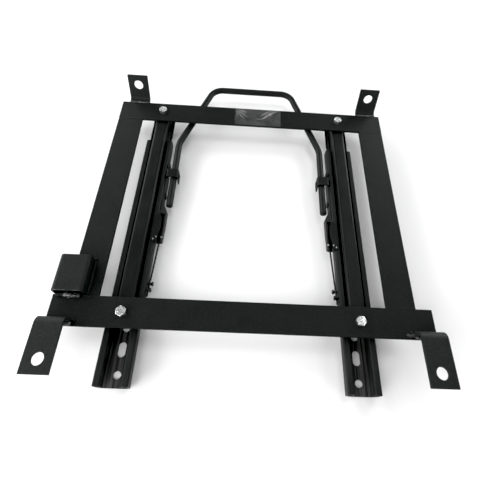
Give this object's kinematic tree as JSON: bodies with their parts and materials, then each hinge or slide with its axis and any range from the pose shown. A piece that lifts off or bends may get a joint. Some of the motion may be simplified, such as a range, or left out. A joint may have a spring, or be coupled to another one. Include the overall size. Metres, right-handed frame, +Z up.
{
  "type": "sliding seat bracket",
  "caption": "Sliding seat bracket: flat-bar frame with floor tabs, bolted to twin ball-running seat slides with a sprung towel-bar release.",
  "frame": {"origin": "centre of the four-hole seat bolt pattern, on the seat face of the two slides", "axes": "+X to the right across the slides, +Y along the slides to the vehicle's front (the towel bar's end), +Z up as it lies, which is towards the vehicle's floor when fitted"},
  "size_m": [0.4983, 0.5227, 0.073],
  "materials": {
    "frame_coat": "matte powder coat",
    "rail_coat": "satin black",
    "bar_coat": "satin black",
    "lever_coat": "satin black",
    "dark_steel": "blackened",
    "spring_steel": "drawn wire",
    "bright_zinc": "bright zinc",
    "ball_steel": "polished, greased",
    "clear_film": "clear film"
  },
  "bodies": {
    "frame": {"near_crossbar": "frame_coat", "far_crossbar": "frame_coat", "left_side_bar": "frame_coat", "right_side_bar": "frame_coat", "near_left_tab": "frame_coat", "near_right_tab": "frame_coat", "far_left_tab": "frame_coat", "far_right_tab": "frame_coat", "buckle_plate": "frame_coat", "left_inner_rail": "rail_coat", "right_inner_rail": "rail_coat", "frame_bolts": "bright_zinc", "rail_nuts": "bright_zinc", "film_patch": "clear_film"},
    "left_slide": {"left_outer_channel": "rail_coat", "left_pivot_pin": "dark_steel", "left_spring_posts": "dark_steel", "left_spring_wire": "spring_steel", "left_latch_guard": "rail_coat", "left_guard_rivet": "bright_zinc"},
    "right_slide": {"right_outer_channel": "rail_coat", "right_pivot_pin": "dark_steel", "right_spring_posts": "dark_steel", "right_spring_wire": "spring_steel", "right_latch_guard": "rail_coat", "right_guard_rivet": "bright_zinc"},
    "left_ball_row": {"left_balls": "ball_steel"},
    "right_ball_row": {"right_balls": "ball_steel"},
    "release_bar": {"towel_bar": "bar_coat", "left_clamp": "lever_coat", "right_clamp": "lever_coat", "left_latch_lever": "lever_coat", "right_latch_lever": "lever_coat", "left_lever_rivet": "bright_zinc", "right_lever_rivet": "bright_zinc"}
  },
  "joints": [
    {"name": "left_slide_travel", "type": "slide", "parent": "frame", "child": "left_slide", "axis": [0, 1, 0], "range_m": [-0.03, 0.165]},
    {"name": "right_slide_travel", "type": "slide", "parent": "frame", "child": "right_slide", "axis": [0, 1, 0], "range_m": [-0.03, 0.165]},
    {"name": "left_ball_travel", "type": "slide", "parent": "frame", "child": "left_ball_row", "axis": [0, 1, 0], "range_m": [-0.015, 0.0825]},
    {"name": "right_ball_travel", "type": "slide", "parent": "frame", "child": "right_ball_row", "axis": [0, 1, 0], "range_m": [-0.015, 0.0825]},
    {"name": "release", "type": "hinge", "parent": "left_slide", "child": "release_bar", "pos_m": [0, 0.085, 0.0153], "axis": [-1, 0, 0], "range_deg": [0, 4.2], "stiffness_Nm_per_rad": 20, "springref_deg": -6.88, "deforming": ["left_spring_wire", "right_spring_wire"]}
  ],
  "couplings": [
    {"joint": "right_slide_travel", "follows": "left_slide_travel", "ratio": 1},
    {"joint": "left_ball_travel", "follows": "left_slide_travel", "ratio": 0.5},
    {"joint": "right_ball_travel", "follows": "left_slide_travel", "ratio": 0.5}
  ]
}
